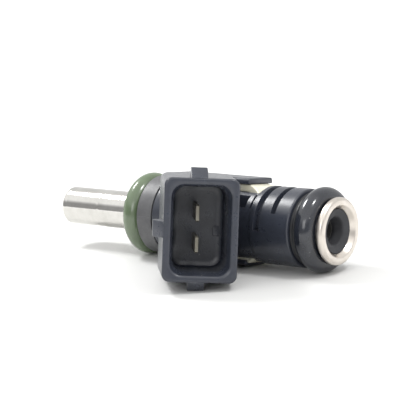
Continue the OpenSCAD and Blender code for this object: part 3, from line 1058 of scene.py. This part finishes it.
class MouldedBody:
    """The black moulding: housing and neck, plug shell with its socket and lugs, root, roof and floor."""

    def __init__(self, plug: PlugFrame, reach: float, sizes: BodySizes = BodySizes()) -> None:
        """Keeps the frames and sizes.

        Args:
            plug: The plug's frame.
            reach: Distance of the rim from the injector's axis.
            sizes: The body's sizes.
        """
        self.plug, self.reach, self.s = plug, reach, sizes
        self.start, self.end = span("lower_collar").end, span("support_ring").start
        self.bore = span("gap_ring").radius

    def _radius(self, x: Array, phi: Array) -> Array:
        """Radius of the housing and neck at a place along X and an angle from the rolled top.

        It is the smallest of the round body, the slots' floors, the flat under the strap and the pocket's
        walls.

        Args:
            x: Places along X.
            phi: Angles in radians, positive towards the plug.

        Returns:
            The radii.
        """
        s, soft, edge, beyond = self.s, 0.06, self.s.edge, 99.0
        r = np.full(x.shape, s.housing_r)
        r = np.where(x < self.start + s.collar_l, s.collar_r, r)
        r = np.where(x >= s.neck_start, s.neck_r, r)
        for at, side in ((self.start, 1), (s.neck_start, 1), (self.end, -1)):
            d = np.clip((x - at) * side, 0, edge)
            inside = (x - at) * side >= -1e-9
            near = inside & (d < edge) & ((at != s.neck_start) | (x >= s.neck_start))
            r = np.where(near, r - edge + np.sqrt(np.maximum(edge**2 - (edge - d) ** 2, 0)), r)
        c, sn = np.cos(phi), np.sin(phi)
        up = np.maximum(c, 1e-3)
        for low, high, half in (s.slot_1, s.slot_2):
            deep = ramp(x, low, high, soft) * ramp(phi, -math.radians(half), math.radians(half), 0.012)
            r = r - s.slot_depth * deep
        window = ramp(x, s.window[0], s.window[1], soft)
        nose = np.clip((s.window[0] + s.nose - x) / s.nose, 0, 1)
        low_edge = s.strap_low + s.nose - s.nose * np.sqrt(np.maximum(1 - nose**2, 0))
        cut = np.where(c > 0.2, low_edge / up, beyond)
        r = np.where(window > 0.5, np.minimum(r, cut), r)
        for low, high, floor in ((*s.pocket, s.pocket_floor), (*s.slit, s.pocket_floor - 0.4)):
            inside = ramp(x, low, high, soft)
            wall = np.maximum(floor / np.maximum(sn, 0.05), s.pocket_low / up)
            wall = np.where(sn > 0.05, wall, beyond)
            r = np.where((inside > 0.5) & (sn > 0), np.minimum(r, wall), r)
        return r

    def _trunk(self) -> Patch:
        """The housing and neck: a skin over a grid of places along X and angles, crowded at every edge."""
        s = self.s
        marks = [self.start + s.collar_l, s.neck_start, *s.slot_1[:2], *s.slot_2[:2]]
        marks += [*s.window, *s.pocket, *s.slit]
        rounding = s.edge * np.linspace(0, 1, 7) ** 1.5
        x = np.concatenate(
            [np.arange(self.start, self.end, 0.25), [self.start, self.end]]
            + [m + np.array([-0.04, -0.02, 0.0, 0.02, 0.04]) for m in marks]
            + [self.start + rounding, s.neck_start + rounding, self.end - rounding]
            + [s.window[0] + s.nose * np.linspace(0, 1, 12) ** 1.6]
        )
        x = np.unique(np.round(np.clip(x, self.start, self.end), 4))
        x = x[np.diff(x, prepend=-9.0) > 0.008]
        ledges = [math.acos(s.pocket_low / s.housing_r), math.atan2(s.pocket_floor, s.pocket_low),
                  math.atan2(s.pocket_floor, s.strap_low), math.acos(s.strap_low / s.housing_r)]
        angles = [math.radians(s.slot_1[2]), math.radians(s.slot_2[2]), *ledges]
        signed = np.array(angles + [-a for a in angles])
        phi = np.concatenate(
            [np.linspace(-math.pi, math.pi, 200, endpoint=False)]
            + [signed + d for d in (-0.012, -0.006, 0.0, 0.006, 0.012)]
        )
        phi = np.unique(np.round(phi, 5))
        phi = phi[np.diff(phi, prepend=-9.0) > 0.002]
        gx, gp = np.meshgrid(x, phi, indexing="ij")
        r = self._radius(gx, gp)
        skin = np.stack([gx, -r * np.sin(gp), r * np.cos(gp)], -1)
        bore = np.stack(
            [np.stack([np.full(len(phi), e), -self.bore * np.sin(phi), self.bore * np.cos(phi)], -1)
             for e in (self.end, self.start)]
        )
        return carried(self.plug.unroll(np.concatenate([skin, bore])), around=True)

    def _shell(self) -> Patch:
        """The plug shell: a rounded rectangle carried along the outside, over the rim and down the socket.

        Each row has its own half sizes, corner radius and distance along the plug's axis.
        """
        w, h, t = self.s.shell_half_w, self.s.shell_half_h, self.reach
        rows = [(w - 1.6, h - 1.6, 0.8, 12.6), (w - 0.5, h - 0.5, 1.0, 12.9)]
        rows += [(w, h, 1.3, d) for d in np.linspace(13.6, t - 0.35, 14)]
        for a in np.linspace(0, math.pi / 2, 6)[1:]:
            d = 0.35 * (1 - math.cos(a))
            rows.append((w - d, h - d, 1.3, t - 0.35 + 0.35 * math.sin(a)))
        rows += [(w - 0.55, h - 0.5, 1.5, t), (w - 0.8, h - 0.68, 1.8, t - 0.01)]
        for a in np.linspace(0, math.pi / 2, 6)[1:]:
            d = 0.55 * math.sin(a)
            rows.append((w - 0.8 - d, h - 0.68 - d, 2.0, t - 0.56 + 0.55 * math.cos(a)))
        rows += [(w - 1.45, h - 1.3, 2.1, t - 1.0), (w - 1.7, h - 1.5, 2.1, t - 1.7)]
        rows += [(w - 1.75, h - 1.55, 2.1, t - 2.4)]
        rows += [(w - 1.75 - 0.01 * k, h - 1.55 - 0.01 * k, 2.0, t - 2.4 - 0.9 * k) for k in range(1, 9)]
        rows += [(w - 2.0, h - 1.8, 1.8, t - 10.2), (w - 2.4, h - 2.2, 1.5, t - 10.45)]
        rows += [(w - 3.0, h - 2.8, 1.2, t - 10.5)]
        rings = [(rounded_rect(a, b, c), d) for a, b, c, d in rows]
        grid = np.stack([np.column_stack([ring, np.full(len(ring), d)]) for ring, d in rings])
        return carried(self.plug.place(grid))

    def _lug(self, turn: int, shift: float, half: float) -> Patch:
        """A locking lug: a ramp up to a crest with a catch behind, as wide as the lug.

        Args:
            turn: Quarter turns about the plug's axis, from the across direction.
            shift: Sideways shift of the lug.
            half: Distance of the shell's face from the plug's axis.

        Returns:
            The lug as a closed patch.
        """
        rim, crest = self.reach - 0.12, self.reach - 2.4
        corners = [(half - 0.5, rim, 0), (half + 0.05, rim, 0.1), (half + 1.6, crest, 0.18),
                   (half + 1.6, crest - 1.1, 0.12), (half + 0.3, crest - 1.6, 0.1),
                   (half - 0.5, crest - 1.6, 0)]
        grid = slab(filleted(corners, 4), -1.4, 1.4, 0.15)
        across, tall = quarter_turned(grid[..., 0], grid[..., 2] + shift, turn)
        return carried(self.plug.place(np.stack([across, tall, grid[..., 1]], -1)))

    def _root(self) -> Patch:
        """The root between housing and shell: a plate with rounded edges, drawn in the rolled frame."""
        angle = math.acos(float(self.plug.out[0]))
        c, s = math.cos(angle), math.sin(angle)

        def at(across: float, along: float) -> tuple[float, float]:
            """Carries a point from the plug's axis to the place along X and the height off the axis."""
            cross = float(self.plug.origin[0])
            return cross + along * c + across * s, across * c - along * s

        corners = [(*at(-5.0, 14.5), 0), (*at(5.0, 14.5), 0), (20.8, -2.0, 0.6), (5.9, -2.0, 0),
                   (5.9, -5.3, 1.0)]
        grid = slab(resampled(filleted(corners, 6), 0.6), -self.s.root_half, self.s.root_half, 0.8)
        return carried(self.plug.unroll(grid))

    def _cover(self, start: float, end: float, low: float, high: float, top: float, bottom: float) -> Patch:
        """A cover along a strap: a section with rounded corners carried along X.

        Args:
            start: Its start along X.
            end: Its end along X.
            low: Height of its lower face in the rolled frame.
            high: Height of its upper face.
            top: Radius of its upper corners.
            bottom: Radius of its lower corners.

        Returns:
            The cover as a closed patch.
        """
        w = self.s.roof_w / 2
        section = filleted([(-w, low, bottom), (w, low, bottom), (w, high, top), (-w, high, top)], 8)
        grid = slab(resampled(section, 0.8), start, end, 0.14)
        return carried(self.plug.unroll(grid[..., [2, 0, 1]]))

    def _covers(self) -> list[Patch]:
        """The roof and lower lip, and the thicker blocks that close the straps' flanks up to the windows."""
        s, start, block = self.s, self.start + 1, self.s.window[0] + 0.1
        deep = s.strap_low - 0.6
        top, bottom = s.strap_high + s.roof_t, -s.strap_high - s.floor_lip
        return [
            self._cover(start, s.roof_end, s.strap_high, top, 0.75, 0.08),
            self._cover(start, block, deep, top - 0.01, 0.75, 0.1),
            self._cover(start, s.roof_end, bottom, -s.strap_high + s.lip_rise, 0.08, 0.6),
            self._cover(start, block, bottom + 0.01, -deep, 0.1, 0.6),
        ]

    def _key_mark(self) -> Patch:
        """A small rounded key that stands on the socket's floor, beside the blades."""
        outline = rounded_rect(0.7, 0.9, 0.5, 5, 3) + [3.3, -0.9]
        grid = slab(outline, self.reach - 10.8, self.reach - 10.4, 0.15)
        return carried(self.plug.place(grid))

    def build(self, builder: Builder) -> None:
        """Builds the moulding as one piece.

        Args:
            builder: Makes the piece.
        """
        s = self.s
        patches = [self._trunk(), self._shell(), self._root(), *self._covers(), self._key_mark(),
                   self._lug(2, 0.0, s.shell_half_w), self._lug(1, s.lug_shift, s.shell_half_h),
                   self._lug(3, -s.lug_shift, s.shell_half_h)]
        builder.piece("body_moulding", patches, Slot.MOULDING, ["overmould"], 32)


@dataclass(frozen=True)
class FluxStrap:
    """The yellow passivated yoke: a strap bent into a closed frame, with a plate at each end of the coil."""

    thick: float = 1.4
    bend: float = 3.0
    edge: float = 0.28
    half_w: float = 2.9
    plate_r: float = 5.05
    plate_hole: float = 3.6

    def build(self, builder: Builder, plug: PlugFrame) -> None:
        """Builds the frame: the strap's rounded section is carried round the frame's outline.

        Args:
            builder: Makes the piece.
            plug: The plug's frame, for the roll.
        """
        low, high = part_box("flux_yoke")
        start, end = low.x / MM, high.x / MM
        half_w, thick = self.half_w, self.thick
        outer = (high.z / MM - half_w * math.sin(plug.roll)) / math.cos(plug.roll)
        outline = rounded_rect((end - start) / 2, outer, self.bend, 8, 30) + [(start + end) / 2, 0]
        corners = [(0, -half_w), (thick, -half_w), (thick, half_w), (0, half_w)]
        section = filleted([(*corner, self.edge) for corner in corners], 5)
        count = len(outline)
        rows = [np.column_stack([inset(outline, d), np.full(count, y)])[:, [0, 2, 1]] for d, y in section]
        patches = [carried(plug.unroll(np.stack(rows)), around=True)]
        for x in (start + 0.02, end - thick - 0.02):
            corners = [(x, self.plate_hole, 0), (x, self.plate_r, 0.2), (x + thick, self.plate_r, 0.2),
                       (x + thick, self.plate_hole, 0)]
            profile = filleted(corners, 4)
            patches.append(carried(turned(profile, 96), around=True))
        builder.piece("flux_strap", patches, Slot.PASSIVATED, ["flux_yoke"])


@dataclass(frozen=True)
class FilterHead:
    """The inlet filter's frame: a dark funnel in the flange's throat, an end cap and four ribs."""

    wall: float = 0.45

    def build(self, builder: Builder) -> None:
        """Builds the frame: a filleted profile carried round the axis, a cap and four ribs.

        Args:
            builder: Makes the piece.
        """
        at, mesh = span("filter_frame"), span("filter_mesh")
        bore = span("pole_piece").radius
        cage = mesh.radius + self.wall
        tube_end = span("inlet_tube").end
        throat = at.radius
        corners = [(mesh.end, cage - self.wall, 0), (mesh.end, bore, 0), (tube_end, bore, 0),
                   (tube_end, throat, 0), (at.end, throat, 0.1), (at.end, throat - 0.2, 0.08),
                   (tube_end + 0.1, bore - 0.35, 0.5), (mesh.end + 0.5, cage - self.wall, 0.8)]
        patches = [carried(turned(resampled(filleted(corners, 6), 0.25), 120), around=True)]
        cap = filleted([(at.start, 0.05, 0), (at.start, cage, 0.3), (mesh.start, cage, 0.1),
                        (mesh.start, 0.05, 0)], 5)
        patches.append(carried(turned(cap, 80), around=True))
        for k in range(4):
            bar = slab(rounded_rect(0.35, 0.2, 0.12, 3, 2) + [0, cage - 0.2], mesh.start, mesh.end, 0.02)
            y, z = quarter_turned(bar[..., 0], bar[..., 1], k)
            patches.append(carried(np.stack([bar[..., 2], y, z], -1)))
        builder.piece("filter_frame_skin", patches, Slot.FILTER, ["filter_frame"])


@dataclass(frozen=True)
class Blade:
    """A terminal blade with coined edges and a chamfered point."""

    node: str
    side: int
    width: float = 2.8
    thick: float = 0.6
    pitch: float = 5.2
    inset: float = 2.7
    shift: float = -0.45

    def build(self, builder: Builder, plug: PlugFrame, reach: float) -> None:
        """Builds the blade as a rounded plate in the plug's frame.

        Args:
            builder: Makes the piece.
            plug: The plug's frame.
            reach: Distance of the rim from the injector's axis.
        """
        tip, base, w = reach - self.inset, reach - 16.5, self.width / 2
        mid = self.side * self.pitch / 2
        corners = [(mid - w, base, 0), (mid + w, base, 0), (mid + w, tip - 0.4, 0.1),
                   (mid + w - 0.2, tip, 0.08), (mid - w + 0.2, tip, 0.08), (mid - w, tip - 0.4, 0.1)]
        grid = slab(resampled(filleted(corners, 4), 1.5), -self.thick / 2, self.thick / 2, 0.12)
        local = np.stack([grid[..., 2] + self.shift, grid[..., 0], grid[..., 1]], -1)
        builder.piece(f"{self.node}_skin", [carried(plug.place(local))], Slot.BLADE, [self.node])


INNER_NODES: dict[str, Slot] = {
    "valve_seat": Slot.HARDENED,
    "orifice_disc": Slot.HARDENED,
    "needle_guide": Slot.HARDENED,
    "valve_ball": Slot.BALL,
    "needle_tube": Slot.HARDENED,
    "armature": Slot.MAGNETIC,
    "return_spring": Slot.SPRING,
    "adjusting_sleeve": Slot.SPRING,
    "pole_piece": Slot.MAGNETIC,
    "gap_ring": Slot.GAP,
    "inlet_tube": Slot.SATIN,
    "filter_mesh": Slot.WEAVE,
    "bobbin": Slot.BOBBIN,
    "coil_winding": Slot.COPPER,
}


# ---------------------------------------------------------------- stage


@dataclass(frozen=True)
class Lamp:
    """A soft rectangular lamp: where it stands, what it points at, its size and its power."""

    name: str
    place: tuple[float, float, float]
    aim: tuple[float, float, float]
    size: tuple[float, float]
    power: float


@dataclass(frozen=True)
class Studio:
    """A pale floor with painted shade around the injector, a bright surround with a darker front, soft lamps
    and the camera.
    """

    floor_z: float = -7.3
    target: tuple[float, float, float] = (12.71, 0.0, 1.85)
    distance: float = 346.87
    azimuth: float = 38.47
    elevation: float = 11.03
    roll: float = -3.15
    lens: float = 170.75
    floor_half: float = 6.0
    # Painted shade on the floor: the colour near the injector, and the distances over which it pales to the
    # far colour.
    painted_shade_fade: tuple[float, float] = (0.045, 0.17)
    painted_shade_near: tuple[float, float, float] = (0.76, 0.76, 0.75)
    floor_far: tuple[float, float, float] = (0.97, 0.97, 0.97)
    dark_bearing: float = 5.0
    dark_band: tuple[tuple[float, float], ...] = (
        (0.485, 0.42), (0.66, 0.44), (0.70, 0.75), (0.725, 0.95), (0.95, 0.95),
    )
    lamps: tuple[Lamp, ...] = (
        Lamp("key_lamp", (-165, -5, 220), (14, 0, 0), (84, 60), 0.48),
        Lamp("fill_lamp", (174, 0, 250), (14, 0, 0), (44, 36), 0.24),
        Lamp("front_lamp", (120, -300, 130), (14, 0, 0), (160, 120), 0.16),
    )

    def camera(self) -> None:
        """Places the camera on its bearing round the target, turned about its own axis by the roll."""
        a, e, g = (math.radians(v) for v in (self.azimuth, self.elevation, self.roll))
        back = np.array([math.sin(a) * math.cos(e), -math.cos(a) * math.cos(e), math.sin(e)])
        right = np.array([math.cos(a), math.sin(a), 0.0])
        up = np.cross(back, right)
        turned_right = right * math.cos(g) + up * math.sin(g)
        turned_up = -right * math.sin(g) + up * math.cos(g)
        place = (np.array(self.target) + self.distance * back) * MM
        matrix = Matrix.Identity(4)
        for column, vector in enumerate((turned_right, turned_up, back, place)):
            for row in range(3):
                matrix[row][column] = vector[row]
        data = bpy.data.cameras.new("camera")
        data.lens, data.sensor_width, data.sensor_fit = self.lens, 36.0, "HORIZONTAL"
        data.clip_start, data.clip_end = 0.01, 20.0
        data.dof.use_dof = False
        made = bpy.data.objects.new("camera", data)
        made.matrix_world = matrix
        bpy.context.scene.collection.objects.link(made)
        bpy.context.scene.camera = made

    def floor(self) -> None:
        """Lays the floor under the two O-rings and the plug's lower lug. Its colour is painted shade: grey
        under and around the injector, paling to near white further out.
        """
        size = self.floor_half
        mesh = bpy.data.meshes.new("floor")
        corners = [(-size, -size, 0), (size, -size, 0), (size, size, 0), (-size, size, 0)]
        mesh.from_pydata(corners, [], [(0, 1, 2, 3)])
        made = bpy.data.objects.new("floor", mesh)
        made.location = (0, 0, self.floor_z * MM)
        bpy.context.scene.collection.objects.link(made)
        white = bpy.data.materials.new("floor_with_painted_shade")
        white.use_nodes = True
        wiring = Wiring(white.node_tree)
        where = wiring.add("TexCoord").outputs["Object"]
        away = wiring.add("VectorMath", {0: where}, operation="LENGTH").outputs["Value"]
        shader = white.node_tree.nodes["Principled BSDF"]
        # Painted shade: the floor's colour is greyer near the injector and pales outwards.
        colour = wiring.mix(wiring.scaled(away, *self.painted_shade_fade), self.painted_shade_near, self.floor_far)
        wiring.feed(shader.inputs["Base Color"], colour)
        shader.inputs["Roughness"].default_value = 0.6
        shader.inputs["Specular IOR Level"].default_value = 0.3
        mesh.materials.append(white)

    def surround(self) -> None:
        """Makes the surround: white to the camera, but with a darker region in front in reflections."""
        world = bpy.data.worlds.new("surround")
        bpy.context.scene.world = world
        world.use_nodes = True
        wiring = Wiring(world.node_tree)
        where = wiring.add("TexCoord").outputs["Generated"]
        bearing = math.radians(self.dark_bearing)
        ahead = (math.sin(bearing), -math.cos(bearing), 0.0)
        facing = wiring.add("VectorMath", {0: where, 1: ahead}, operation="DOT_PRODUCT").outputs["Value"]
        height = wiring.add("SeparateXYZ", {0: where}).outputs[2]
        band = wiring.add("ValToRGB", {0: wiring.math("MULTIPLY_ADD", height, 0.5, 0.5)})
        steps = band.color_ramp.elements
        steps[0].position, steps[0].color = 0.44, (0.85, 0.84, 0.82, 1)
        steps[1].position, steps[1].color = 1.0, (0.80, 0.80, 0.81, 1)
        for place, value in self.dark_band:
            steps.new(place).color = (value, value, value * 1.01, 1)
        around = wiring.mix(wiring.scaled(facing, 0.15, 0.5), (0.95, 0.95, 0.95), band.outputs[0])
        behind, high = wiring.scaled(facing, -0.42, -0.2), wiring.scaled(height, 0.44, 0.50)
        overhead = wiring.math("MULTIPLY", behind, high)
        glow = wiring.mix(overhead, around, (0.38, 0.38, 0.37), "ADD")
        to_camera = wiring.add("LightPath").outputs["Is Camera Ray"]
        shade = world.node_tree.nodes["Background"]
        wiring.feed(shade.inputs["Color"], wiring.mix(to_camera, glow, (1, 1, 1)))
        shade.inputs["Strength"].default_value = 1.0

    def light(self) -> None:
        """Hangs the soft lamps."""
        for lamp in self.lamps:
            data = bpy.data.lights.new(lamp.name, "AREA")
            data.shape = "RECTANGLE"
            data.size, data.size_y = lamp.size[0] * MM, lamp.size[1] * MM
            data.energy = lamp.power
            made = bpy.data.objects.new(lamp.name, data)
            place, aim = Vector(lamp.place) * MM, Vector(lamp.aim) * MM
            made.location = place
            made.rotation_mode = "QUATERNION"
            made.rotation_quaternion = (aim - place).to_track_quat("-Z", "Y")
            bpy.context.scene.collection.objects.link(made)

    def build(self) -> None:
        """Builds the whole stage."""
        self.camera()
        self.floor()
        self.surround()
        self.light()
        bpy.context.scene.view_settings.view_transform = "Standard"


# ---------------------------------------------------------------- main


def main() -> None:
    """Builds the injector's looks piece by piece, then its stage."""
    plug = PlugFrame.from_record(PLUG_REACH)
    kit = MaterialKit(FINISHES)
    builder = Builder(kit)
    NozzleTube().build(builder)
    SealRing("lower_o_ring", Slot.GREEN).build(builder)
    SealRing("upper_o_ring", Slot.RUBBER).build(builder)
    Collar().build(builder)
    PlainRing("ring_retainer", Slot.SATIN, 0.15).build(builder)
    PlainRing("support_ring", Slot.SUPPORT, 0.2, 0.12).build(builder)
    InletFlange().build(builder)
    FilterHead().build(builder)
    MouldedBody(plug, PLUG_REACH).build(builder)
    FluxStrap().build(builder, plug)
    Blade("terminal_upper", 1).build(builder, plug, PLUG_REACH)
    Blade("terminal_lower", -1).build(builder, plug, PLUG_REACH)
    for node, slot in INNER_NODES.items():
        kit.dress(node, slot)
        log.info("%s keeps its CAD mesh", node)
    Studio().build()


if __name__ == "__main__":
    main()
